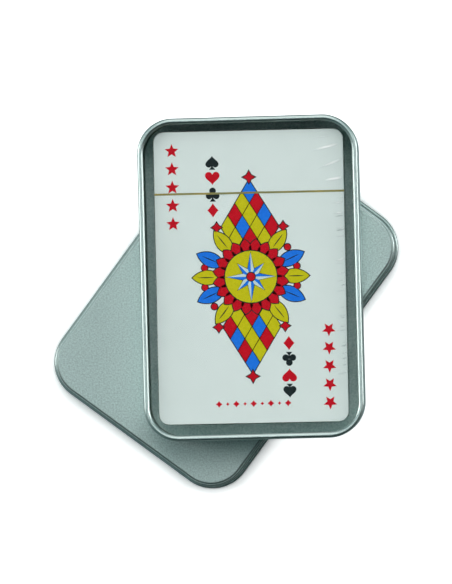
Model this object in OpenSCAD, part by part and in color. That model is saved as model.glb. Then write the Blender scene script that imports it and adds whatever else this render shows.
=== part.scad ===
// Card game tin: a pressed tray standing on its slip lid, with a sealed pack of cards in the tray.
// The tray lies along X and Y, the lid is turned beneath it, and Z is up. Units are millimetres.

/* [Cards] */
// Width of one card
card_w = 57; // [50:0.5:70]
// Length of one card
card_l = 88; // [80:0.5:120]
// Thickness of one card
card_t = 0.3; // [0.24:0.01:0.4]
// Corner radius of one card
card_corner_r = 3; // [2:0.1:5]

/* [Film wrap] */
// Thickness of the clear film round the pack
film_t = 0.08; // [0.05:0.01:0.2]
// Thickness of the tear strip between the cards and the film
strip_t = 0.05; // [0.03:0.01:0.1]
// Width of the tear strip
strip_w = 0.6; // [0.4:0.1:3]
// Distance from the far end of the cards to the middle of the tear strip
strip_from_end = 18.7; // [8:0.1:40]

/* [Tray] */
// Thickness of the tinplate of tray and lid
sheet_t = 0.25; // [0.15:0.01:0.3]
// Diameter of the inward curl round the tray's mouth
mouth_curl_d = 1.8; // [1.5:0.1:2.4]
// Gap between the wrapped pack and the mouth at each long side
side_gap = 2.8; // [1:0.1:6]
// Gap between the wrapped pack and the mouth at each short end
end_gap = 2.7; // [1:0.1:6]
// Height of the mouth above the wrapped pack
headroom = 3.0; // [1:0.1:8]
// Outside corner radius of the tray in plan
tray_corner_r = 10.7; // [8:0.1:13]
// Outside radius of the bend between the tray's floor and wall
floor_bend_r = 1.6; // [0.8:0.1:3]

/* [Lid] */
// Height of the lid from its rest face to the top of its panel
lid_h = 12; // [8:0.5:18]
// Gap at each side between the tray's wall and the lid's skirt when the tin is closed
lid_gap = 0.15; // [0.05:0.05:0.5]
// Diameter of the outward curl along the lid's lower edge
hem_curl_d = 1.15; // [0.9:0.05:1.8]
// Depth of the small flat on the hem that the lid rests on
hem_flat = 0.04; // [0.02:0.01:0.08]
// Outside radius of the shoulder between the lid's skirt and ledge
shoulder_r = 0.55; // [0.5:0.05:2]
// Width of the flat ledge round the lid's panel
ledge_w = 0.15; // [0.1:0.05:3]
// Width of the slope between the ledge and the raised panel
step_w = 0.35; // [0.2:0.05:2]
// Height of the raised panel above the ledge
step_h = 0.15; // [0.1:0.01:1]

/* [Arrangement] */
// Turn of the lid beneath the tray, in degrees
lid_turn = -37.6; // [-90:0.1:90]
// Middle of the tray from the middle of the lid, across the tray
tray_from_lid_x = 8.9; // [-15:0.1:15]
// Middle of the tray from the middle of the lid, along the tray
tray_from_lid_y = 7.9; // [-15:0.1:15]
// Middle of the pack from the middle of the tray, along the tray
pack_from_tray_y = 0.4; // [-0.8:0.1:0.8]
// Turn of the pack in the tray, in degrees
pack_turn = -0.3; // [-2:0.1:2]

/* [Hidden] */
$fn = 64;
SUITS = ["spades", "diamonds", "clubs", "hearts"];
RANKS = ["ace", "two", "three", "four", "five", "six", "seven", "eight", "nine", "ten",
         "jack", "queen", "king"];
// The cards from the top of the pack down
CARDS = concat(["card_joker_colour", "card_joker_plain"],
               [for (suit = SUITS, rank = RANKS) str("card_", suit, "_", rank)]);

// The wrapped pack
card_count = len(CARDS);
cards_h = card_count * card_t;
wrap_t = film_t + strip_t;
pack_w = card_w + 2 * wrap_t;
pack_l = card_l + 2 * wrap_t;
pack_h = cards_h + 2 * wrap_t;

// The tray round the pack
tray_w = pack_w + 2 * (side_gap + mouth_curl_d);
tray_l = pack_l + 2 * (end_gap + mouth_curl_d);
tray_h = sheet_t + pack_h + headroom;
mouth_curl_r = mouth_curl_d / 2;
// Angle that the mouth's curl turns through, from the wall over the top and under
mouth_curl_angle = 285;
// How far a bent edge runs into the flat plate beside it, so that the two are one sheet
sheet_lap = 2 * sheet_t;

// The lid over the tray
lid_w = tray_w + 2 * (lid_gap + sheet_t);
lid_l = tray_l + 2 * (lid_gap + sheet_t);
lid_corner_r = tray_corner_r + lid_gap + sheet_t;
hem_curl_r = hem_curl_d / 2;
hem_out = hem_curl_d - sheet_t;
// Angle at which the hem's curl ends, above its outermost point
hem_end_angle = 115;
ledge_z = lid_h - step_h;
panel_inset = shoulder_r + ledge_w + step_w;

// The middle of the whole arrangement, seen from above, lies on the origin
hem_half_w = lid_w / 2 + hem_out;
hem_half_l = lid_l / 2 + hem_out;
hem_corner_r = lid_corner_r + hem_out;
lid_reach_x = (hem_half_w - hem_corner_r) * cos(lid_turn)
            + (hem_half_l - hem_corner_r) * abs(sin(lid_turn)) + hem_corner_r;
lid_reach_y = (hem_half_w - hem_corner_r) * abs(sin(lid_turn))
            + (hem_half_l - hem_corner_r) * cos(lid_turn) + hem_corner_r;
reach_right = max(lid_reach_x, tray_from_lid_x + tray_w / 2);
reach_left = max(lid_reach_x, tray_w / 2 - tray_from_lid_x);
reach_far = max(lid_reach_y, tray_from_lid_y + tray_l / 2);
reach_near = max(lid_reach_y, tray_l / 2 - tray_from_lid_y);
lid_x = (reach_left - reach_right) / 2;
lid_y = (reach_near - reach_far) / 2;
tray_x = lid_x + tray_from_lid_x;
tray_y = lid_y + tray_from_lid_y;
pack_z = lid_h + sheet_t;

// A rectangle with round corners, about the middle
module round_rect(w, l, r) {
    square([w - 2 * r, l], center = true);
    square([w, l - 2 * r], center = true);
    for (x = [-1, 1], y = [-1, 1])
        translate([x * (w / 2 - r), y * (l / 2 - r)])
            circle(r);
}

// A section carried round a rectangle with round corners. The section's x = 0 lies on the outline
// and grows outwards, and its y becomes the height.
module carried_round(w, l, r) {
    for (side = [0:3]) {
        half_x = (side % 2 == 0 ? w : l) / 2;
        half_y = (side % 2 == 0 ? l : w) / 2;
        rotate(90 * side) {
            translate([half_x, half_y - r, 0])
                rotate([90, 0, 0])
                    linear_extrude(2 * (half_y - r))
                        children();
            translate([half_x - r, half_y - r, 0])
                rotate_extrude(angle = 90)
                    translate([r, 0])
                        children();
        }
    }
}

// The section of a sheet bent on an arc, from one angle round to another, with outside radius r
module bent_sheet(r, from, to) {
    steps = 8;
    cut = 2 * r;
    difference() {
        circle(r);
        circle(r - sheet_t);
        polygon(concat([[0, 0]],
            [for (i = [0:steps])
                let (a = to + (from + 360 - to) * i / steps)
                [cut * cos(a), cut * sin(a)]]));
    }
}

// The tray's wall in section: floor bend, wall and inward curl
module tray_section() {
    translate([-floor_bend_r - sheet_lap, 0])
        square([sheet_lap, sheet_t]);
    translate([-floor_bend_r, floor_bend_r])
        bent_sheet(floor_bend_r, 270, 360);
    translate([-sheet_t, floor_bend_r])
        square([sheet_t, tray_h - mouth_curl_r - floor_bend_r]);
    translate([-mouth_curl_r, tray_h - mouth_curl_r])
        bent_sheet(mouth_curl_r, 0, mouth_curl_angle);
}

// The lid's edge in section: hem curl with its flat, skirt, shoulder, ledge and slope
module lid_section() {
    hem_z = hem_curl_r - hem_flat;
    slope_x = -shoulder_r - ledge_w;
    difference() {
        translate([-sheet_t + hem_curl_r, hem_z])
            bent_sheet(hem_curl_r, 180, 360 + hem_end_angle);
        translate([-hem_curl_d, -hem_curl_d])
            square([2 * hem_curl_d, hem_curl_d]);
    }
    translate([-sheet_t, hem_z])
        square([sheet_t, ledge_z - shoulder_r - hem_z]);
    translate([-shoulder_r, ledge_z - shoulder_r])
        bent_sheet(shoulder_r, 0, 90);
    translate([slope_x, ledge_z - sheet_t])
        square([ledge_w, sheet_t]);
    polygon([[slope_x, ledge_z - sheet_t], [slope_x, ledge_z],
             [slope_x - step_w, lid_h], [slope_x - step_w, lid_h - sheet_t]]);
    translate([slope_x - step_w - sheet_lap, lid_h - sheet_t])
        square([sheet_lap, sheet_t]);
}

// The slip lid, lying with its panel up
module lid() {
    color([0.70, 0.74, 0.73])
        translate([lid_x, lid_y, 0])
            rotate(lid_turn) {
                carried_round(lid_w, lid_l, lid_corner_r)
                    lid_section();
                translate([0, 0, lid_h - sheet_t])
                    linear_extrude(sheet_t)
                        round_rect(lid_w - 2 * panel_inset, lid_l - 2 * panel_inset,
                                   lid_corner_r - panel_inset);
            }
}

// The tray, standing on the lid's panel
module tray() {
    color([0.66, 0.71, 0.70])
        translate([tray_x, tray_y, lid_h]) {
            carried_round(tray_w, tray_l, tray_corner_r)
                tray_section();
            linear_extrude(sheet_t)
                round_rect(tray_w - 2 * floor_bend_r, tray_l - 2 * floor_bend_r,
                           tray_corner_r - floor_bend_r);
        }
}

// What lies in the tray is placed from the middle of the pack's underside
module in_pack() {
    translate([tray_x, tray_y + pack_from_tray_y, pack_z])
        rotate(pack_turn)
            children();
}

// A block in the outline of the cards, grown all round by a margin
module card_block(margin, h) {
    linear_extrude(h)
        round_rect(card_w + 2 * margin, card_l + 2 * margin, card_corner_r + margin);
}

// The clear film sealed round the pack
module film_wrap() {
    color([0.90, 0.95, 0.95, 0.3])
        in_pack()
            difference() {
                card_block(wrap_t, pack_h);
                translate([0, 0, film_t])
                    card_block(strip_t, pack_h - 2 * film_t);
            }
}

// The tear strip, a closed band round the cards under the film
module tear_strip() {
    color("goldenrod")
        in_pack()
            translate([0, card_l / 2 - strip_from_end, film_t + strip_t])
                rotate([90, 0, 0])
                    linear_extrude(strip_w, center = true)
                        difference() {
                            translate([0, cards_h / 2])
                                square([card_w + 2 * strip_t, cards_h + 2 * strip_t], center = true);
                            translate([0, cards_h / 2])
                                square([card_w, cards_h], center = true);
                        }
}

// One card, counted from the top of the pack
module card(place) {
    color(place == 0 ? [0.86, 0.90, 0.88] : [0.93, 0.94, 0.92])
        in_pack()
            translate([0, 0, wrap_t + (card_count - 1 - place) * card_t])
                card_block(0, card_t);
}

lid();
tray();
film_wrap();
tear_strip();
for (place = [0:card_count - 1])
    card(place);
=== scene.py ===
"""Looks of a card game tin: a pressed tray standing on its slip lid, with a sealed pack of cards in the tray.

Lengths are in millimetres until each mesh is made, which turns them into metres. The tray lies along X and Y.
"""

import math
import random

import bmesh
import bpy
from mathutils import Matrix, Vector, geometry, noise


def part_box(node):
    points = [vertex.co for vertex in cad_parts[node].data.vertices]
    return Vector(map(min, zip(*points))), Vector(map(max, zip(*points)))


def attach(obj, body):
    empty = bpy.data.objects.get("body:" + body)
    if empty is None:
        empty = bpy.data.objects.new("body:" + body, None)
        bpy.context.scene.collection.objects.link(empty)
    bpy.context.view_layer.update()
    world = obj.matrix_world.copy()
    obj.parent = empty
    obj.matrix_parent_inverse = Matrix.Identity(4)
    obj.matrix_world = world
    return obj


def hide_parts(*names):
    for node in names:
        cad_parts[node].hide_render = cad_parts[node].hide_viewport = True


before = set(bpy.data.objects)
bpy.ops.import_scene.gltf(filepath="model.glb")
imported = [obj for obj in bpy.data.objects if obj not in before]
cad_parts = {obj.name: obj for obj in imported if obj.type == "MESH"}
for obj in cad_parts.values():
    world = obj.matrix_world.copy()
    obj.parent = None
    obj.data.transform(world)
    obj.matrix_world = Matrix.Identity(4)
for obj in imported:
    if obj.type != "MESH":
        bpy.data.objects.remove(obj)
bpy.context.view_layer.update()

MM = 0.001
scene = bpy.context.scene

# Camera: where it stands, what it looks at, its roll, and its focal length in the photograph's pixels
CAMERA_AT = (86.8, -4.23, 2020.0)
CAMERA_AIM = (0.9, 3.57, 20.0)
CAMERA_ROLL = 1.54
FOCAL_PX = 6622.3
PHOTO_LONG_SIDE_PX = 584
SENSOR = 36.0
CLIP_END_M = 50.0

# Light comes as radiance by direction, whose X, Y and Z are those of a unit vector. Most of its values are
# pairs: where a change starts and ends, or the radiance at those two places.
DARKEST = 0.02
# Sky beyond the tin: how far sideways it dims, and its radiance in the middle and at the sides
SKY_SIDEWAYS = (0.1, 0.4)
HIGH_SKY = (2.35, 0.7)
LOW_SKY = (0.9, 0.3)
# Heights at which the low sky turns into the high one, and how far towards the far side the sky sets in
SKY_HEIGHT = (0.2, 0.5)
SKY_START = (0.02, 0.4)
# Side screens, the brightest part of the room: radiance, inner edge, near end and far end
SCREEN = 6.5
SCREEN_EDGE = (0.55, 0.88)
SCREEN_NEAR_END = (-0.09, 0.04)
SCREEN_FAR_END = (0.18, 0.42)
# Glow low down on the near left: its bearings in degrees, its radiance at them, and its top
GLOW_BEARINGS = (-140, -100)
GLOW = (0.36, 0.03)
GLOW_TOP = (0.45, 0.75)
# Tints of the darkest and the brightest light, and the share of the screens' radiance that has the second
DIM_TINT = (0.3, 1.0, 1.05, 1.0)
BRIGHT_TINT = (1.0, 1.0, 0.995, 1.0)
BRIGHT_FROM = 0.17
# What the camera sees behind the floor
BACKDROP = 1.05

# Table: its radius, and the dark patch that the tin mirrors, a painted shadow of the tin on the table. That
# lies to one side of the tin, and the pairs say in metres where it sets in on that side and where it ends all
# round.
FLOOR_R = 7000.0
SHADE_SIDE = (0.707, -0.707, 0.0)
SHADE_START = (10 * MM, 35 * MM)
SHADE_END = (46 * MM, 58 * MM)
# Contact shadow that the camera sees: its reach, and the openness at which it starts and ends
CONTACT_REACH = 6.0
CONTACT_OPENNESS = (0.5, 0.95)
FLOOR_GLOW = 0.9

# Cards, film and tear strip
CARD_W = 57.0
CARD_L = 88.0
CARD_T = 0.3
CARD_CORNER_R = 3.0
WRAP_T = 0.13
STRIP_T = 0.05
STRIP_W = 0.6
STRIP_FROM_END = 18.7
STRIP_SWAY = 0.06
FILM_EDGE_R = 0.15
FILM_SHEET_T = 0.03
# How far the film's underside keeps off the tray's floor, so that the two faces don't lie in one plane
FILM_CLEARANCE = 0.02
PACK_TURN = -0.3
# Folded ends of the film: how far the upper flap reaches, and the margin left round each flap
FLAP_DEPTH = 9.4
FLAP_MARGIN = 0.4
# How far the flaps stand off the film, the step from one to the other, their thickness and their waves
FLAP_LIFT = 0.02
FLAP_STEP = 0.08
FLAP_T = 0.04
FLAP_WAVE = 0.03
FLAP_ROWS = 8
FLAP_COLUMNS = 40

# Tinplate of tray and lid
SHEET_T = 0.25
TRAY_CORNER_R = 10.7
FLOOR_BEND_R = 1.6
MOUTH_CURL_R = 0.9
MOUTH_CURL_ANGLE = 285
LID_TURN = -37.6
LID_CORNER_R = 11.1
HEM_CURL_R = 0.575
HEM_FLAT = 0.04
HEM_END_ANGLE = 115
SHOULDER_R = 0.55
LEDGE_W = 0.15
STEP_W = 0.35
STEP_H = 0.15
# Flat rim kept round each plate, so that its shading stays flat up to the bend
PLATE_MARGIN = 0.3
# How far the pressed walls drift inwards
WALL_DRIFT = 0.04


def box_mm(node):
    """A node's middle in plan, its size, and its lowest height, in millimetres."""
    low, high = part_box(node)
    return (low + high) / 2 / MM, (high - low) / MM, low.z / MM


def placed(middle, height, degrees):
    """Moves a piece to its middle in plan and its height, turned about Z."""
    return Matrix.Translation((middle.x, middle.y, height)) @ Matrix.Rotation(math.radians(degrees), 4, "Z")


tray_mid, tray_size, tray_z = box_mm("tray")
lid_mid, lid_box_size, lid_z = box_mm("lid")
film_mid, film_box_size, pack_z = box_mm("film_wrap")
LID_W = tray_size.x + 2 * (LID_CORNER_R - TRAY_CORNER_R)
LID_L = tray_size.y + 2 * (LID_CORNER_R - TRAY_CORNER_R)
LID_H = lid_box_size.z
TRAY_H = tray_size.z
PACK_H = film_box_size.z
FACE_Z = PACK_H - WRAP_T

to_tray = Matrix.Translation((tray_mid.x, tray_mid.y, tray_z))
to_lid = placed(lid_mid, lid_z, LID_TURN)
to_pack = placed(film_mid, pack_z, PACK_TURN)


# Camera

def make_camera():
    """Stands the camera as the photograph's, nearly straight above."""
    lens = bpy.data.cameras.new("camera")
    lens.sensor_width = SENSOR
    lens.lens = FOCAL_PX * SENSOR / PHOTO_LONG_SIDE_PX
    lens.clip_end = CLIP_END_M
    camera = bpy.data.objects.new("camera", lens)
    scene.collection.objects.link(camera)
    look = Vector(CAMERA_AIM) - Vector(CAMERA_AT)
    away = -look.normalized()
    right = Vector((0, 1, 0)).cross(away).normalized()
    up = away.cross(right)
    roll = math.radians(CAMERA_ROLL)
    rolled_right = right * math.cos(roll) - up * math.sin(roll)
    rolled_up = up * math.cos(roll) + right * math.sin(roll)
    turn = Matrix((rolled_right, rolled_up, away)).transposed().to_4x4()
    camera.matrix_world = Matrix.Translation(Vector(CAMERA_AT) * MM) @ turn
    scene.camera = camera


# Shader helpers

def srgb(red, green, blue):
    """An 8-bit colour as linear values with alpha."""
    return tuple((value / 255) ** 2.2 for value in (red, green, blue)) + (1.0,)


def add_node(tree, kind, inputs=None, **settings):
    """Adds a shader node. An input is a number, a colour or another node's output."""
    made = tree.nodes.new(kind)
    for name, value in settings.items():
        setattr(made, name, value)
    for name, value in (inputs or {}).items():
        if isinstance(value, bpy.types.NodeSocket):
            tree.links.new(value, made.inputs[name])
        else:
            made.inputs[name].default_value = value
    return made


def new_material(name, **values):
    """A material with its own tree and Principled shader, whose sockets take the values given."""
    mat = bpy.data.materials.new(name)
    mat.use_nodes = True
    shader = mat.node_tree.nodes["Principled BSDF"]
    for socket, value in values.items():
        shader.inputs[socket.replace("_", " ")].default_value = value
    return mat, mat.node_tree, shader


def operate(tree, operation, first, second=0.0):
    """One step of arithmetic on numbers or other nodes' outputs."""
    return add_node(tree, "ShaderNodeMath", {0: first, 1: second}, operation=operation).outputs[0]


def mix(tree, share, first, second):
    """A colour between two others."""
    return add_node(tree, "ShaderNodeMixRGB",
                    {"Fac": share, "Color1": first, "Color2": second}).outputs["Color"]


def in_range(tree, value, span, ends, smooth=False):
    """A value carried from one range to another and held at the ends, which may be other nodes' outputs."""
    return add_node(tree, "ShaderNodeMapRange",
                    {"Value": value, "From Min": span[0], "From Max": span[1],
                     "To Min": ends[0], "To Max": ends[1]},
                    interpolation_type="SMOOTHSTEP" if smooth else "LINEAR").outputs["Result"]


def fade(tree, value, span, ends):
    """A value carried from one range to another, eased at both ends."""
    return in_range(tree, value, span, ends, smooth=True)


def two_tone(tree, factor, first, second, low=0.3, high=0.7):
    """A colour that runs from first to second as the factor goes from low to high."""
    ramp = add_node(tree, "ShaderNodeValToRGB", {"Fac": factor})
    ramp.color_ramp.elements[0].position = low
    ramp.color_ramp.elements[0].color = first
    ramp.color_ramp.elements[1].position = high
    ramp.color_ramp.elements[1].color = second
    return ramp.outputs["Color"]


def place_in_part(tree):
    """The place of a point in the part, which moves with its piece."""
    return add_node(tree, "ShaderNodeTexCoord").outputs["Object"]


def place_noise(tree, size, detail=2.0):
    """Noise fixed to the piece, with features about size millimetres across."""
    inputs = {"Vector": place_in_part(tree), "Scale": 1 / (size * MM), "Detail": detail}
    return add_node(tree, "ShaderNodeTexNoise", inputs).outputs["Fac"]


def levelness(tree):
    """How level a face lies: 1 where it is level, 0 where it stands upright."""
    true_normal = add_node(tree, "ShaderNodeNewGeometry").outputs["True Normal"]
    height = add_node(tree, "ShaderNodeSeparateXYZ", {"Vector": true_normal}).outputs["Z"]
    return operate(tree, "ABSOLUTE", height)


def bump(tree, height, depth, normal=None, strength=1.0):
    """A bump of the given depth in millimetres, over another one where that is given."""
    inputs = {"Height": height, "Distance": depth * MM, "Strength": strength}
    if normal:
        inputs["Normal"] = normal
    return add_node(tree, "ShaderNodeBump", inputs).outputs["Normal"]


# Materials

# Tinplate: sizes of its stipple, clouding and waves, and depths of the stipple and the waves
STIPPLE = 0.5
CLOUDING = 9.0
WAVES = 22.0
STIPPLE_DEPTH = 0.03
WAVE_DEPTH = 0.2
# How level a face is where a bend ends in a panel, and where a wall ends in a bend
PANEL_LEVEL = (0.97, 0.999)
BEND_LEVEL = (0.01, 0.06)
# Share of the stipple that bends keep, and roughness of the bends and of the clouded panels
BEND_STIPPLE = 0.15
BEND_ROUGHNESS = 0.34
PANEL_ROUGHNESS = (0.56, 0.62)
# Each surface's two tones
# The bends' tones are darker than those of the same tinplate's walls and panels: a painted shade that dims
# their reflections
BEND_PAINTED_SHADE_TONES = (srgb(160, 173, 170), srgb(168, 181, 178))
# The tray's panel and wall tones are lighter than the lid's of the same tinplate: painted light in and beside
# the tray
TRAY_PANEL_PAINTED_LIGHT_TONES = (srgb(212, 232, 229), srgb(240, 254, 251))
TRAY_WALL_PAINTED_LIGHT_TONES = (srgb(220, 238, 235), srgb(230, 246, 243))
LID_PANEL_TONES = (srgb(193, 209, 206), srgb(223, 239, 236))
LID_WALL_TONES = (srgb(202, 214, 211), srgb(212, 224, 221))
CARD_TONES = (srgb(247, 252, 249), srgb(250, 255, 252))
# Dark line between cards on the pack's sides: painted shade in the gaps between them
CARD_GAP_SHADE_COLOR = srgb(120, 124, 120)
GOLD_TONES = (srgb(166, 160, 108), srgb(216, 184, 96))
FLOOR_TONES = (srgb(246, 247, 247), srgb(250, 251, 251))
# What the tin mirrors of the table: most of it, and its dark patch, a painted shadow of the tin
MIRRORED_FLOOR = (srgb(158, 170, 171), srgb(30, 44, 46))
# Gloss of the film: its share on flat film and on a crease, how steep a crease has to be for it, and its rise
# # towards grazing angles. The far larger share on a crease is a painted sheen on the side that faces the
# bright far side.
FILM_TINT = (0.99, 0.997, 0.995, 1.0)
FILM_GLOSS = (0.012, 0.28)
PAINTED_SHEEN_SPAN = (0.35, 1.0)
GRAZING_POWER = 5.0


def tinplate(name, panels, walls):
    """Tinplate: satin and stippled on its flat panels, smoother and glossier where it is bent and on its
    walls. Panels and walls have two tones each; the bends take darker ones, a painted shade that dims their
    reflections."""
    mat, tree, shader = new_material(name, Metallic=1.0)
    stipple = place_noise(tree, STIPPLE)
    cloud = place_noise(tree, CLOUDING)
    level = levelness(tree)
    panel = in_range(tree, level, PANEL_LEVEL, (0.0, 1.0))
    bend = in_range(tree, level, BEND_LEVEL, (0.0, 1.0))
    # Bends take darker tones than walls: a painted shade on their reflections
    beside_panel = mix(tree, bend, two_tone(tree, stipple, *walls), two_tone(tree, cloud, *BEND_PAINTED_SHADE_TONES))
    color = mix(tree, panel, beside_panel, two_tone(tree, stipple, *panels))
    tree.links.new(color, shader.inputs["Base Color"])
    satin = in_range(tree, cloud, (0.3, 0.7), PANEL_ROUGHNESS)
    roughness = in_range(tree, panel, (0.0, 1.0), (BEND_ROUGHNESS, satin))
    tree.links.new(roughness, shader.inputs["Roughness"])
    waves = bump(tree, place_noise(tree, WAVES, 1.0), WAVE_DEPTH)
    stippled = in_range(tree, panel, (0.0, 1.0), (BEND_STIPPLE, 1.0))
    tree.links.new(bump(tree, stipple, STIPPLE_DEPTH, waves, stippled), shader.inputs["Normal"])
    return mat


def card_stock():
    """Coated white card, whose sides show the edge of each card by a dark line of painted shade between one
    card and the next.
    """
    mat, tree, shader = new_material("card_stock", Roughness=0.42)
    on_side = operate(tree, "LESS_THAN", levelness(tree), 0.5)
    height = add_node(tree, "ShaderNodeSeparateXYZ", {"Vector": place_in_part(tree)}).outputs["Z"]
    above_first = operate(tree, "SUBTRACT", height, (pack_z + WRAP_T) * MM)
    counted = operate(tree, "DIVIDE", above_first, CARD_T * MM)
    through_card = operate(tree, "PINGPONG", counted, 0.5)
    # Painted shade: a dark line where one card meets the next
    gap_shade = in_range(tree, through_card, (0.0, 0.12), (1.0, 0.0))
    line = operate(tree, "MULTIPLY", gap_shade, on_side)
    face = two_tone(tree, place_noise(tree, 6.0), *CARD_TONES)
    tree.links.new(mix(tree, line, face, CARD_GAP_SHADE_COLOR), shader.inputs["Base Color"])
    tree.links.new(bump(tree, place_noise(tree, 0.35), 0.004), shader.inputs["Normal"])
    return mat


def printed_ink(name, first, second):
    """Printing ink, slightly uneven as it takes on the card."""
    mat, tree, shader = new_material(name, Roughness=0.4, Specular_IOR_Level=0.1)
    tree.links.new(two_tone(tree, place_noise(tree, 0.8, 3.0), first, second), shader.inputs["Base Color"])
    return mat


def gold_foil():
    """The tear strip's metallic gold."""
    mat, tree, shader = new_material("gold_strip", Metallic=0.6, Roughness=0.35)
    tree.links.new(two_tone(tree, place_noise(tree, 9.0), *GOLD_TONES), shader.inputs["Base Color"])
    tree.links.new(bump(tree, place_noise(tree, 4.0), 0.1), shader.inputs["Normal"])
    return mat


def clear_film():
    """Clear film: see-through, with gloss that grows towards grazing angles, the same from both sides. On the
    steep side of a crease, which faces +Y towards the bright far side, it has a painted sheen: far more gloss
    than clear film has, as a mesh attribute tells."""
    mat = bpy.data.materials.new("clear_film")
    mat.use_nodes = True
    tree = mat.node_tree
    tree.nodes.clear()
    crinkle = bump(tree, place_noise(tree, 3.0), 0.012)
    clear = add_node(tree, "ShaderNodeBsdfTransparent", {"Color": FILM_TINT})
    gloss = add_node(tree, "ShaderNodeBsdfGlossy", {"Roughness": 0.22, "Normal": crinkle})
    grazing = add_node(tree, "ShaderNodeLayerWeight", {"Blend": 0.5}).outputs["Facing"]
    # Painted sheen: a mesh attribute raises the gloss on the side of a crease that faces the bright far side
    crease = add_node(tree, "ShaderNodeAttribute", attribute_name="painted_sheen").outputs["Fac"]
    on_top = in_range(tree, levelness(tree), (0.5, 0.6), (0.0, crease))
    least_share = in_range(tree, on_top, PAINTED_SHEEN_SPAN, FILM_GLOSS)
    rise = operate(tree, "POWER", grazing, GRAZING_POWER)
    share = in_range(tree, rise, (0.0, 1.0), (least_share, 1.0))
    mixed = add_node(tree, "ShaderNodeMixShader", {0: share, 1: clear.outputs[0], 2: gloss.outputs[0]})
    out = add_node(tree, "ShaderNodeOutputMaterial")
    tree.links.new(mixed.outputs[0], out.inputs["Surface"])
    return mat


def pale_floor():
    """The studio's plain white table, with a soft contact shadow. The tin mirrors a darker one, with a
    painted shadow of the tin on its near right side.
    """
    mat, tree, shader = new_material("pale_floor", Roughness=0.9)
    seen = add_node(tree, "ShaderNodeLightPath").outputs["Is Camera Ray"]
    white = two_tone(tree, place_noise(tree, 40.0), *FLOOR_TONES)
    place = place_in_part(tree)
    towards = add_node(tree, "ShaderNodeVectorMath", {0: place, 1: SHADE_SIDE}, operation="DOT_PRODUCT")
    away = add_node(tree, "ShaderNodeVectorMath", {0: place}, operation="LENGTH")
    # Painted shadow of the tin on the table, which the tin mirrors and the camera does not see
    on_side = fade(tree, towards.outputs["Value"], SHADE_START, (0.0, 1.0))
    shade = fade(tree, away.outputs["Value"], SHADE_END, (on_side, 0.0))
    mirrored = two_tone(tree, shade, *MIRRORED_FLOOR, 0.0, 1.0)
    tree.links.new(mix(tree, seen, mirrored, white), shader.inputs["Base Color"])
    shader.inputs["Emission Color"].default_value = (1.0, 1.0, 1.0, 1.0)
    openness = add_node(tree, "ShaderNodeAmbientOcclusion", {"Distance": CONTACT_REACH * MM}, samples=8)
    glow = in_range(tree, openness.outputs["AO"], CONTACT_OPENNESS, (0.0, FLOOR_GLOW))
    tree.links.new(in_range(tree, seen, (0.0, 1.0), (0.0, glow)), shader.inputs["Emission Strength"])
    return mat


# Light

def light_room():
    """Soft light from the far side, a bright screen at each side, and a dark near side with a faint glow.
    What is dim is also cooler. The camera sees a plain white backdrop."""
    world = bpy.data.worlds.new("studio")
    scene.world = world
    world.use_nodes = True
    tree = world.node_tree
    place = add_node(tree, "ShaderNodeTexCoord").outputs["Generated"]
    x, y, z = add_node(tree, "ShaderNodeSeparateXYZ", {"Vector": place}).outputs
    sideways = operate(tree, "ABSOLUTE", x)
    high = fade(tree, sideways, SKY_SIDEWAYS, HIGH_SKY)
    low = fade(tree, sideways, SKY_SIDEWAYS, LOW_SKY)
    far_sky = fade(tree, z, SKY_HEIGHT, (low, high))
    sky = fade(tree, y, SKY_START, (DARKEST, far_sky))
    screen = fade(tree, sideways, SCREEN_EDGE, (0.0, SCREEN))
    far_end = fade(tree, y, SCREEN_FAR_END, (screen, 0.0))
    screens = fade(tree, y, SCREEN_NEAR_END, (0.0, far_end))
    bearing = operate(tree, "ARCTAN2", y, x)
    glow = fade(tree, bearing, [math.radians(angle) for angle in GLOW_BEARINGS], GLOW)
    low_glow = operate(tree, "MULTIPLY", glow, fade(tree, z, GLOW_TOP, (1.0, 0.0)))
    light = operate(tree, "MAXIMUM", operate(tree, "MAXIMUM", sky, screens), low_glow)
    tint = two_tone(tree, operate(tree, "DIVIDE", light, SCREEN), DIM_TINT, BRIGHT_TINT, 0.0, BRIGHT_FROM)
    seen = add_node(tree, "ShaderNodeLightPath").outputs["Is Camera Ray"]
    background = tree.nodes["Background"]
    tree.links.new(mix(tree, seen, tint, (1.0, 1.0, 1.0, 1.0)), background.inputs["Color"])
    tree.links.new(in_range(tree, seen, (0.0, 1.0), (light, BACKDROP)), background.inputs["Strength"])
    scene.view_settings.view_transform = "Standard"


def lay_floor():
    """A wide floor at the height that the lid rests on."""
    bm = bmesh.new()
    bmesh.ops.create_circle(bm, cap_ends=True, segments=64, radius=FLOOR_R)
    floor = finish_mesh("floor", bm, pale_floor(), Matrix.Identity(4))


# Mesh helpers

# Steps of a grid round a corner, and pitches of its straight lines and of the rows up a wall
CORNER_STEPS = 12
GRID_PITCH = 8.0
WALL_PITCH = 2.5
# Steps of the arcs in the tin's profiles
BEND_STEPS = 8
SHOULDER_STEPS = 10
CURL_STEPS = 30
INNER_CURL_STEPS = 20
# Lengths over which the drift of the walls changes, along a wall and up it
DRIFT_LENGTH = 17.0
DRIFT_HEIGHT = 30.0


def finish_mesh(name, bm, mat, place, body=None, sharp=50.0):
    """Turns a mesh in millimetres into a piece in metres, which rides on a body where one is given. Edges
    look sharp from the given angle on."""
    bmesh.ops.recalc_face_normals(bm, faces=bm.faces)
    mesh = bpy.data.meshes.new(name)
    bm.to_mesh(mesh)
    bm.free()
    mesh.transform(Matrix.Scale(MM, 4) @ place)
    mesh.materials.append(mat)
    mesh.shade_smooth()
    mesh.set_sharp_from_angle(angle=math.radians(sharp))
    piece = bpy.data.objects.new(name, mesh)
    scene.collection.objects.link(piece)
    if body:
        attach(piece, body)
    return piece


def spaced(start, end, steps):
    """Evenly spaced values from start to end, both included."""
    return [start + (end - start) * i / steps for i in range(steps + 1)]


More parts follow.
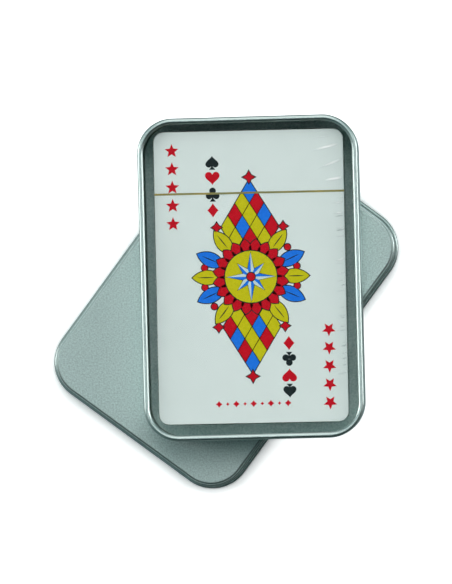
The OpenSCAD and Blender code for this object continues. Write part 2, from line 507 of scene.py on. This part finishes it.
def arc(x, y, r, start, end, steps):
    """Points along an arc about (x, y), between two angles in degrees."""
    return [(x + r * math.cos(math.radians(a)), y + r * math.sin(math.radians(a)))
            for a in spaced(start, end, steps)]


def corner_lines(r):
    """Distances into a corner's square at which grid lines meet its arc at even angles."""
    return [r * math.tan(math.pi / 4 * i / CORNER_STEPS) for i in range(CORNER_STEPS + 1)]


def grid_lines(half, r, straight):
    """Grid lines across a rounded rectangle: its corners' own, and straight ones in stretches, which have an
    end and a pitch each."""
    start = r - half
    lines = [start - into for into in reversed(corner_lines(r))]
    for end, pitch in straight:
        lines += spaced(start, end, max(1, round((end - start) / pitch)))[1:]
        start = end
    return lines + [half - r + into for into in corner_lines(r)[1:]]


def rounded(x, y, half_w, half_l, r):
    """Where a grid point of the square-cornered rectangle goes in the rounded one, and which way is outwards
    there."""
    core = Vector((max(r - half_w, min(half_w - r, x)), max(r - half_l, min(half_l - r, y))))
    reach = Vector((x, y)) - core
    if reach.length > 0:
        reach *= max(abs(reach.x), abs(reach.y)) / reach.length
    return core + reach, reach.normalized()


def border(last_i, last_j):
    """The outermost points of a grid, once round."""
    return ([(i, 0) for i in range(last_i)] + [(last_i, j) for j in range(last_j)]
            + [(i, last_j) for i in range(last_i, 0, -1)] + [(0, j) for j in range(last_j, 0, -1)])


def shell(half_w, half_l, r, profile, straight_x=None, straight_y=None):
    """A closed sheet: its profile (offset from the outline, height) is carried round a rounded rectangle,
    between two plates that lie at the profile's ends."""
    inset = -profile[0][0]
    half_w, half_l, r = half_w - inset, half_l - inset, r - inset
    xs = grid_lines(half_w, r, straight_x or [(half_w - r, GRID_PITCH)])
    ys = grid_lines(half_l, r, straight_y or [(half_l - r, GRID_PITCH)])
    last_x, last_y = len(xs) - 1, len(ys) - 1
    edge = border(last_x, last_y)
    bm = bmesh.new()
    plates = []
    for _, z in (profile[0], profile[-1]):
        plate = [[bm.verts.new((*rounded(x, y, half_w, half_l, r)[0], z)) for y in ys] for x in xs]
        for i in range(last_x):
            for j in range(last_y):
                bm.faces.new((plate[i][j], plate[i + 1][j], plate[i + 1][j + 1], plate[i][j + 1]))
        plates.append([plate[i][j] for i, j in edge])
    outline = [rounded(xs[i], ys[j], half_w, half_l, r) for i, j in edge]
    rings = [plates[0]]
    for offset, z in profile[1:-1]:
        rings.append([bm.verts.new((*(at + out * (offset + inset)), z)) for at, out in outline])
    rings.append(plates[1])
    for lower, upper in zip(rings, rings[1:]):
        for k in range(len(edge)):
            bm.faces.new((lower[k - 1], lower[k], upper[k], upper[k - 1]))
    return bm


def rows(offset, start, end, pitch=WALL_PITCH):
    """Points up or down a straight wall, without its ends."""
    return [(offset, z) for z in spaced(start, end, max(2, round(abs(end - start) / pitch)))[1:-1]]


def drift(bm, amount, seed):
    """Draws the walls in by a little that changes from place to place, never outwards."""
    half_w = max(v.co.x for v in bm.verts)
    half_l = max(v.co.y for v in bm.verts)
    for v in bm.verts:
        spot = Vector((v.co.x / DRIFT_LENGTH + seed, v.co.y / DRIFT_LENGTH, v.co.z / DRIFT_HEIGHT))
        v.co.x *= 1 - amount / half_w * (0.5 + 0.5 * noise.noise(spot))
        v.co.y *= 1 - amount / half_l * (0.5 + 0.5 * noise.noise(spot + Vector((5.0, 0.0, 0.0))))


# Tin

def tray_profile():
    """Underside, floor bend, wall and inward curl, then back down the inside."""
    mouth_z = TRAY_H - MOUTH_CURL_R
    floor_edge = -FLOOR_BEND_R - PLATE_MARGIN
    inner_bend_r = FLOOR_BEND_R - SHEET_T
    return ([(floor_edge, 0.0)]
            + arc(-FLOOR_BEND_R, FLOOR_BEND_R, FLOOR_BEND_R, 270, 360, BEND_STEPS)
            + rows(0.0, FLOOR_BEND_R, mouth_z)
            + arc(-MOUTH_CURL_R, mouth_z, MOUTH_CURL_R, 0, MOUTH_CURL_ANGLE, CURL_STEPS)
            + arc(-MOUTH_CURL_R, mouth_z, MOUTH_CURL_R - SHEET_T, MOUTH_CURL_ANGLE, 0, INNER_CURL_STEPS)
            + rows(-SHEET_T, mouth_z, FLOOR_BEND_R)
            + arc(-FLOOR_BEND_R, FLOOR_BEND_R, inner_bend_r, 360, 270, BEND_STEPS)
            + [(floor_edge, SHEET_T)])


def lid_profile():
    """Panel edge, slope, ledge, shoulder, skirt and outward hem curl, then back up the inside."""
    ledge_z = LID_H - STEP_H
    skirt_top = ledge_z - SHOULDER_R
    hem_z = HEM_CURL_R - HEM_FLAT
    hem_x = HEM_CURL_R - SHEET_T
    hem_end = 360 + HEM_END_ANGLE
    slope_foot = -SHOULDER_R - LEDGE_W
    slope_head = slope_foot - STEP_W
    ease_x = STEP_W * 0.25
    ease_z = STEP_H * 0.1
    slope = [(slope_head - ease_x, LID_H), (slope_head, LID_H - ease_z),
             (slope_head + ease_x, LID_H - 3 * ease_z), (slope_foot - ease_x, ledge_z + 3 * ease_z),
             (slope_foot, ledge_z + ease_z), (slope_foot + LEDGE_W / 2, ledge_z)]
    under_slope = [(x, z - SHEET_T) for x, z in reversed(slope)]
    hem_outside = [(x, max(z, 0.0)) for x, z in arc(hem_x, hem_z, HEM_CURL_R, hem_end, 180, CURL_STEPS)]
    return ([(slope_head - PLATE_MARGIN, LID_H)]
            + slope
            + arc(-SHOULDER_R, skirt_top, SHOULDER_R, 90, 0, SHOULDER_STEPS)
            + rows(0.0, skirt_top, hem_z)
            + arc(hem_x, hem_z, hem_x, 180, hem_end, INNER_CURL_STEPS)
            + hem_outside
            + rows(-SHEET_T, hem_z, skirt_top)
            + arc(-SHOULDER_R, skirt_top, SHOULDER_R - SHEET_T, 0, 90, SHOULDER_STEPS)
            + under_slope
            + [(slope_head - PLATE_MARGIN, LID_H - SHEET_T)])


def make_tin():
    """Tray and lid as pressed sheet with its curls."""
    bm = shell(tray_size.x / 2, tray_size.y / 2, TRAY_CORNER_R, tray_profile())
    drift(bm, WALL_DRIFT, 1.0)
    # The tray's lighter tones are painted light in its shaded inside and on its walls
    tin = tinplate("tray_tinplate", TRAY_PANEL_PAINTED_LIGHT_TONES, TRAY_WALL_PAINTED_LIGHT_TONES)
    tray = finish_mesh("tray_shell", bm, tin, to_tray, "tray")
    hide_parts("tray")

    bm = shell(LID_W / 2, LID_L / 2, LID_CORNER_R, lid_profile())
    drift(bm, WALL_DRIFT, 7.0)
    tin = tinplate("lid_tinplate", LID_PANEL_TONES, LID_WALL_TONES)
    lid = finish_mesh("lid_shell", bm, tin, to_lid, "lid")
    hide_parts("lid")


# Film and tear strip

# Creases in the film: where each starts at an edge and ends, its half width, and its height
CREASES = [((27.8, 38.9), (18.5, 37.0), 0.9, 0.15),
           ((28.3, 34.2), (20.5, 31.6), 0.9, 0.14),
           ((28.4, 28.6), (22.0, 28.0), 1.0, 0.17),
           ((26.0, 41.6), (17.0, 40.6), 0.8, 0.08)]
# Small creases along the right edge: where they start, the stretch that they share out in steps, and the
# ranges of their shift along the edge, length, slant, half width and height
EDGE_X = 28.4
EDGE_SPAN = (-30.0, 23.0)
EDGE_STEPS = 26
EDGE_SHIFT = (-0.8, 0.8)
EDGE_LENGTH = (1.5, 4.0)
EDGE_SLANT = (0.0, 0.4)
EDGE_HALF_WIDTH = (0.4, 0.55)
EDGE_HEIGHT = (0.04, 0.09)
# How much of its length a crease reaches past its start, its width there and how much of that it loses, and
# its width on the steep side and on the other, all as shares
CREASE_LEAD = 0.2
CREASE_WIDTH = 1.2
CREASE_TAPER = 0.6
STEEP_SIDE = 0.85
GENTLE_SIDE = 1.6
# Slope from which a crease has its full painted sheen
FULL_SHEEN_SLOPE = 0.16
# Ripples all over the film, and how far below its top it has creases
RIPPLE = 0.012
RIPPLE_LENGTH = 9.0
CREASED_DEPTH = 3.0
MOST_SIDE_LIFT = 0.03
# The film's grid is coarse up to these lines, and finer beyond them, where the creases are
FINE_FROM_X = 14.0
FINE_FROM_Y = -32.0
COARSE_PITCH = 4.0
FINE_PITCH_X = 0.5
FINE_PITCH_Y = 0.22


def crease_height(x, y, crease):
    """Height of one crease at a point, and its slope where it faces +Y, which sets the film's painted sheen
    there: a ridge that narrows and sinks towards its end, steeper on its +Y side than on the other."""
    (x0, y0), (x1, y1), half_width, height = crease
    line = Vector((x1 - x0, y1 - y0))
    along = Vector((x - x0, y - y0)).dot(line) / line.length_squared
    if not -CREASE_LEAD < along < 1:
        return 0.0, 0.0
    across = Vector((x - x0, y - y0)).cross(line) / line.length
    swell = math.sin(math.pi * (along + CREASE_LEAD) / (1 + CREASE_LEAD))
    lean = STEEP_SIDE if across > 0 else GENTLE_SIDE
    width = lean * half_width * (CREASE_WIDTH - CREASE_TAPER * along)
    lift = height * swell * math.exp(-(across / width) ** 2)
    return lift, max(0.0, 2 * lift * across / width ** 2)


def edge_creases():
    """The small creases along the right edge."""
    rng = random.Random(5)
    creases = []
    for y in spaced(*EDGE_SPAN, EDGE_STEPS):
        start_y = y + rng.uniform(*EDGE_SHIFT)
        end = (EDGE_X - rng.uniform(*EDGE_LENGTH), start_y - rng.uniform(*EDGE_SLANT))
        half_width = rng.uniform(*EDGE_HALF_WIDTH)
        creases.append(((EDGE_X, start_y), end, half_width, rng.uniform(*EDGE_HEIGHT)))
    return creases


def make_film():
    """The clear film drawn tight round the pack, with creases near one corner and small ones along an
    edge."""
    creases = CREASES + edge_creases()
    profile = ([(-2 * FILM_EDGE_R, PACK_H)]
               + arc(-FILM_EDGE_R, PACK_H - FILM_EDGE_R, FILM_EDGE_R, 90, 0, 4)
               + rows(0.0, PACK_H - FILM_EDGE_R, FILM_EDGE_R, 1.0)
               + arc(-FILM_EDGE_R, FILM_EDGE_R, FILM_EDGE_R, 0, -90, 4)
               + [(-2 * FILM_EDGE_R, 0.0)])
    core_x = CARD_W / 2 - CARD_CORNER_R
    core_y = CARD_L / 2 - CARD_CORNER_R
    bm = shell(CARD_W / 2 + WRAP_T, CARD_L / 2 + WRAP_T, CARD_CORNER_R + WRAP_T, profile,
               [(FINE_FROM_X, COARSE_PITCH), (core_x, FINE_PITCH_X)],
               [(FINE_FROM_Y, COARSE_PITCH), (core_y, FINE_PITCH_Y)])
    bm.normal_update()
    painted_sheen = bm.verts.layers.float.new("painted_sheen")
    lifts = {}
    for v in bm.verts:
        on_top = v.co.z > PACK_H - CREASED_DEPTH
        heights = [crease_height(v.co.x, v.co.y, crease) for crease in creases] if on_top else []
        # The film's painted sheen grows with a crease's slope on the side that faces +Y, towards the bright
        # far side
        v[painted_sheen] = min(1.0, sum(slope for _, slope in heights) / FULL_SHEEN_SLOPE)
        ripple = RIPPLE * (1 + noise.noise(v.co / RIPPLE_LENGTH))
        lifts[v] = ripple + sum(lift for lift, _ in heights)
    for v, lift in lifts.items():
        if abs(v.normal.z) <= 0.5:
            v.co += v.normal * min(lift, MOST_SIDE_LIFT)
        elif v.co.z > PACK_H / 2:
            v.co += Vector((0, 0, lift))
        v.co.z = max(v.co.z, FILM_CLEARANCE)
    film = finish_mesh("clear_film", bm, clear_film(), to_pack, "pack", sharp=80.0)
    sheet = film.modifiers.new("film_thickness", "SOLIDIFY")
    sheet.thickness = FILM_SHEET_T * MM
    sheet.offset = -1
    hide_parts("film_wrap")


def add_flap(bm, end, layer, from_z, to_z):
    """Adds a closed flap to one end of the pack. It narrows from one height to the other."""
    half_w = CARD_W / 2 - CARD_CORNER_R - FLAP_MARGIN
    grid = {}
    for side in (0, 1):
        face_y = CARD_L / 2 + WRAP_T + FLAP_LIFT + layer * FLAP_STEP + side * FLAP_T
        for i, down in enumerate(spaced(0.0, 1.0, FLAP_ROWS)):
            z = from_z + (to_z - from_z) * down
            half = half_w - abs(to_z - from_z) * down
            for j, x in enumerate(spaced(-half, half, FLAP_COLUMNS)):
                wave = FLAP_WAVE * (1 + noise.noise(Vector((x / 5.0, z / 3.0, end * 7.0 + layer))))
                grid[side, i, j] = bm.verts.new((x, end * (face_y + wave), z))
    for side in (0, 1):
        for i in range(FLAP_ROWS):
            for j in range(FLAP_COLUMNS):
                corners = ((i, j), (i, j + 1), (i + 1, j + 1), (i + 1, j))
                bm.faces.new([grid[(side, *corner)] for corner in corners])
    rim = [(i, j) for j, i in border(FLAP_COLUMNS, FLAP_ROWS)]
    for before, after in zip(rim[-1:] + rim, rim):
        bm.faces.new((grid[(0, *before)], grid[(0, *after)], grid[(1, *after)], grid[(1, *before)]))


def make_end_folds():
    """The film's envelope folds on the two short ends: an upper flap, and the part of the lower flap below
    it."""
    upper_end = PACK_H - FLAP_DEPTH
    bm = bmesh.new()
    for end in (-1, 1):
        add_flap(bm, end, 0, FLAP_MARGIN, upper_end - FLAP_MARGIN)
        add_flap(bm, end, 1, PACK_H - FLAP_MARGIN, upper_end)
    folds = finish_mesh("film_end_folds", bm, clear_film(), to_pack, "pack", sharp=60.0)


def make_strip():
    """The tear strip: a closed gold band round the cards under the film, not quite straight."""
    half_w = CARD_W / 2 + STRIP_T
    low, high = WRAP_T - STRIP_T, PACK_H - WRAP_T + STRIP_T
    corners = [(-half_w, high), (half_w, high), (half_w, low), (-half_w, low)]
    path = []
    for (x0, z0), (x1, z1) in zip(corners, corners[1:] + corners[:1]):
        steps = max(4, round(abs(x1 - x0) + abs(z1 - z0)))
        path += list(zip(spaced(x0, x1, steps)[:-1], spaced(z0, z1, steps)[:-1]))
    mid_y = CARD_L / 2 - STRIP_FROM_END
    bm = bmesh.new()
    rings = []
    for x, z in path:
        sway = STRIP_SWAY * noise.noise(Vector((x / 12.0, z / 12.0, 3.0)))
        inner_x = max(-CARD_W / 2, min(CARD_W / 2, x))
        inner_z = max(WRAP_T, min(FACE_Z, z))
        ring = [(x, z, -0.5), (x, z, 0.5), (inner_x, inner_z, 0.5), (inner_x, inner_z, -0.5)]
        rings.append([bm.verts.new((at_x, mid_y + sway + side * STRIP_W, at_z)) for at_x, at_z, side in ring])
    for k in range(len(rings)):
        for i in range(4):
            bm.faces.new((rings[k - 1][i - 1], rings[k - 1][i], rings[k][i], rings[k][i - 1]))
    strip = finish_mesh("gold_tear_strip", bm, gold_foil(), to_pack, "pack")
    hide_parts("tear_strip")


# Printed face

# Each ink's two tones
INK_TONES = {"black": (srgb(34, 42, 44), srgb(44, 52, 54)),
             "red": (srgb(214, 14, 36), srgb(226, 26, 46)),
             "yellow": (srgb(218, 206, 24), srgb(226, 214, 36)),
             "blue": (srgb(34, 124, 244), srgb(46, 134, 252)),
             "white": (srgb(222, 237, 233), srgb(226, 241, 237))}
# Thickness of one ink layer, and the width of the black outlines
INK_T = 0.004
LINE_W = 0.28
# Columns of index stars and of suit pips, from the card's middle
INDEX_X = -23.1
INDEX_TOP_Y = 38.3
INDEX_PITCH = 5.5
INDEX_R = 2.15
INDEX_STARS = 5
PIP_X = -11.0
PIP_TOP_Y = 34.6
PIP_PITCH = 4.8
PIP_H = 4.3
# Row of diamonds at the foot of the card: its height, its pitch, the diamonds on each side of the middle one,
# and the sizes that take turns
ROW_Y = -38.2
ROW_PITCH = 2.6
ROW_SIDE = 4
ROW_SIZES = (1.0, 0.55)
# Lattice of lozenges: a lozenge's size, the gaps that each leaves free, the inks in turn, and the lattice's
# steps and foot
LOZENGE_W = 4.4
LOZENGE_H = 7.2
LOZENGE_GAP_X = 0.14
LOZENGE_GAP_Y = 0.2
LOZENGE_INKS = ("yellow", "blue", "yellow", "red")
LATTICE_STEPS = 4
LATTICE_FOOT_Y = 0.6
# Stars at the lattice's sides and top: their distance from it, and their outer and inner radius
SIDE_STAR_GAP = 1.2
SIDE_STAR = (1.5, 0.85)
TOP_STAR_GAP = 0.6
TOP_STAR = (1.8, 0.9)
# Leaves round the rosette, their veins and the rosette's petals: radii of the two ends, and half width
LEAF = (8.5, 17.6, 2.1)
VEIN = (11.0, 16.1, 0.16)
PETAL = (5.5, 11.4, 1.75)
PETALS = 20
# Bearings and inks of the leaves, and the bearings, distance and radius of the berries
LEAVES = ((-24, "blue"), (0, "yellow"), (24, "blue"), (52, "yellow"), (128, "yellow"))
BERRY_BEARINGS = (-12, 12, 38)
BERRY_FROM_MIDDLE = 14.2
BERRY_R = 0.9
# The rosette's round middle: its rim and its face, and its button's rim and face
MIDDLE_RIM_R = 8.1
MIDDLE_R = 7.8
BUTTON_RIM_R = 1.5
BUTTON_R = 1.2
# The star on it: the radii of its long and short points and of the corners between them, and the width of its
# outlines
POINTS = 8
POINT_R = (7.3, 5.6)
NOTCH_R = 2.5
FACET_LINE_W = LINE_W * 0.6


def grown(points, margin):
    """A closed outline moved outwards by a margin, with its sharpest corners held back."""
    area = sum(x0 * y1 - x1 * y0 for (x0, y0), (x1, y1) in zip(points, points[1:] + points[:1]))
    side = 1 if area > 0 else -1
    result = []
    for k, (x, y) in enumerate(points):
        before = (Vector((x, y)) - Vector(points[k - 1])).normalized()
        after = (Vector(points[(k + 1) % len(points)]) - Vector((x, y))).normalized()
        out = Vector((before.y + after.y, -before.x - after.x)) * side
        if out.length < 1e-6:
            out = before
        out.normalize()
        cosine = max(0.4, abs(out.dot(Vector((after.y, -after.x)))))
        result.append(tuple(Vector((x, y)) + out * margin / cosine))
    return result


def outlined(ink, level, points, line_w=LINE_W):
    """A shape on top of its black outline, as (ink, level, points) each."""
    return [("black", level, grown(points, line_w)), (ink, level + 1, points)]


def turned(points, degrees, dx=0.0, dy=0.0):
    """Points turned about the origin and then moved."""
    c, s = math.cos(math.radians(degrees)), math.sin(math.radians(degrees))
    return [(x * c - y * s + dx, x * s + y * c + dy) for x, y in points]


def round_trip(steps=40):
    """Angles in radians once round a closed curve."""
    return spaced(0, 2 * math.pi, steps)[:-1]


def star(x, y, outer, inner, tips, first=90.0):
    """A star of straight lines."""
    return [(x + r * math.cos(math.radians(a)), y + r * math.sin(math.radians(a)))
            for k in range(tips)
            for r, a in ((outer, first + 360 / tips * k), (inner, first + 360 / tips * (k + 0.5)))]


def disc(x, y, r, steps=28):
    """A round dot."""
    return arc(x, y, r, 0, 360, steps)[:-1]


def leaf(start, end, bulge, steps=10):
    """A leaf along X between two distances from the middle, with its half width."""
    upper = [(start + (end - start) * t, bulge * math.sin(math.pi * t) ** 0.8) for t in spaced(0, 1, steps)]
    return upper + [(x, -y) for x, y in reversed(upper[1:-1])]


def heart(h):
    """A heart of the given height about its middle."""
    scale = h / 28.6
    return [(scale * 16 * math.sin(t) ** 3,
             scale * (2.5 + 13 * math.cos(t) - 5 * math.cos(2 * t) - 2 * math.cos(3 * t) - math.cos(4 * t)))
            for t in round_trip()]


def diamond(h):
    """A diamond of the given height about its middle, with hollow sides."""
    def hollow(value):
        return math.copysign(abs(value) ** 2.2, value)
    return [(0.5 * h * hollow(math.cos(t)) * 0.78, 0.5 * h * hollow(math.sin(t))) for t in round_trip()]


def stem(h):
    """The foot of a spade or a club."""
    return [(-0.02 * h, 0.1 * h), (0.02 * h, 0.1 * h), (0.06 * h, -0.3 * h), (0.22 * h, -0.5 * h),
            (-0.22 * h, -0.5 * h), (-0.06 * h, -0.3 * h)]


def pip(suit, h):
    """The shapes of a suit's pip about its middle."""
    if suit == "heart":
        return [heart(h * 0.92)]
    if suit == "spade":
        return [turned(heart(h * 0.82), 180, 0, 0.07 * h), stem(h)]
    if suit == "club":
        return [disc(0, 0.25 * h, 0.23 * h), disc(-0.25 * h, -0.1 * h, 0.23 * h),
                disc(0.25 * h, -0.1 * h, 0.23 * h), stem(h)]
    return [diamond(h)]


def emblem_half():
    """Upper half of the two-way emblem, as (ink, level, points). It is repeated turned upside down."""
    shapes = []
    half_w, half_h = LOZENGE_W / 2, LOZENGE_H / 2
    inner_w, inner_h = half_w - LOZENGE_GAP_X, half_h - LOZENGE_GAP_Y
    for i in range(LATTICE_STEPS):
        for j in range(LATTICE_STEPS):
            x = (i - j) * half_w
            y = LATTICE_FOOT_Y + (i + j + 1) * half_h
            ink = LOZENGE_INKS[(i + 2 * j) % 4]
            corners = [(x + inner_w, y), (x, y + inner_h), (x - inner_w, y), (x, y - inner_h)]
            shapes += outlined(ink, 0, corners)
    star_x = LATTICE_STEPS * half_w + SIDE_STAR_GAP
    mid_y = LATTICE_FOOT_Y + LATTICE_STEPS * half_h
    top_y = LATTICE_FOOT_Y + LATTICE_STEPS * LOZENGE_H
    for side in (-1, 1):
        shapes += outlined("red", 2, star(side * star_x, mid_y, *SIDE_STAR, 4))
    shapes += outlined("red", 2, star(0, top_y + TOP_STAR_GAP, *TOP_STAR, 4))
    for bearing, ink in LEAVES:
        shapes += outlined(ink, 2, turned(leaf(*LEAF), bearing))
        shapes.append(("black", 4, turned(leaf(*VEIN), bearing)))
    for bearing in BERRY_BEARINGS:
        shapes += outlined("red", 2, turned(disc(BERRY_FROM_MIDDLE, 0, BERRY_R), bearing))
    return shapes


def rosette():
    """The emblem's round middle, as (ink, level, points)."""
    shapes = []
    for k in range(PETALS):
        shapes += outlined("red", 4, turned(leaf(*PETAL), 360 / PETALS * (k + 0.5)))
    shapes.append(("black", 6, disc(0, 0, MIDDLE_RIM_R, 64)))
    shapes.append(("yellow", 7, disc(0, 0, MIDDLE_R, 64)))
    for k in range(POINTS):
        tip = turned([(POINT_R[k % 2], 0.0)], 90 + 360 / POINTS * k)
        for side, ink in ((0.5, "blue"), (-0.5, "white")):
            notch = turned([(NOTCH_R, 0.0)], 90 + 360 / POINTS * (k + side))
            shapes += outlined(ink, 8, [(0.0, 0.0)] + tip + notch, FACET_LINE_W)
    shapes.append(("black", 10, disc(0, 0, BUTTON_RIM_R)))
    shapes.append(("red", 11, disc(0, 0, BUTTON_R)))
    return shapes


def card_print():
    """Everything printed on the top card, as (ink, level, points)."""
    half = emblem_half()
    for k in range(INDEX_STARS):
        half.append(("red", 0, star(INDEX_X, INDEX_TOP_Y - INDEX_PITCH * k, INDEX_R, INDEX_R * 0.45, 5)))
    for k, suit in enumerate(("spade", "heart", "club", "diamond")):
        ink = "black" if suit in ("spade", "club") else "red"
        for level, points in enumerate(pip(suit, PIP_H)):
            half.append((ink, level, turned(points, 0, PIP_X, PIP_TOP_Y - PIP_PITCH * k)))
    shapes = half + [(ink, level, turned(points, 180)) for ink, level, points in half]
    for k in range(-ROW_SIDE, ROW_SIDE + 1):
        size = ROW_SIZES[k % 2]
        shapes.append(("red", 0, star(ROW_PITCH * k, ROW_Y, size, size * 0.6, 4)))
    return shapes + rosette()


def make_print():
    """Lays each ink on the top card as thin layers, one piece for each ink."""
    meshes = {ink: bmesh.new() for ink in INK_TONES}
    for ink, level, points in card_print():
        bm = meshes[ink]
        top_z = FACE_Z + INK_T * (level + 1)
        lower = [bm.verts.new((x, y, FACE_Z)) for x, y in points]
        upper = [bm.verts.new((x, y, top_z)) for x, y in points]
        triangles = geometry.tessellate_polygon([[Vector((x, y, 0)) for x, y in points]])
        for ring in (lower, upper):
            for triangle in triangles:
                bm.faces.new([ring[i] for i in triangle])
        for k in range(len(points)):
            bm.faces.new((lower[k - 1], lower[k], upper[k], upper[k - 1]))
    for ink, bm in meshes.items():
        mat = printed_ink(f"ink_{ink}", *INK_TONES[ink])
        finish_mesh(f"print_{ink}", bm, mat, to_pack, "pack", sharp=30.0)


# The whole picture

make_camera()
light_room()
lay_floor()
make_tin()
paper = card_stock()
for name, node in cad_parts.items():
    if name.startswith("card_"):
        node.data.materials.clear()
        node.data.materials.append(paper)
make_print()
make_strip()
make_film()
make_end_folds()
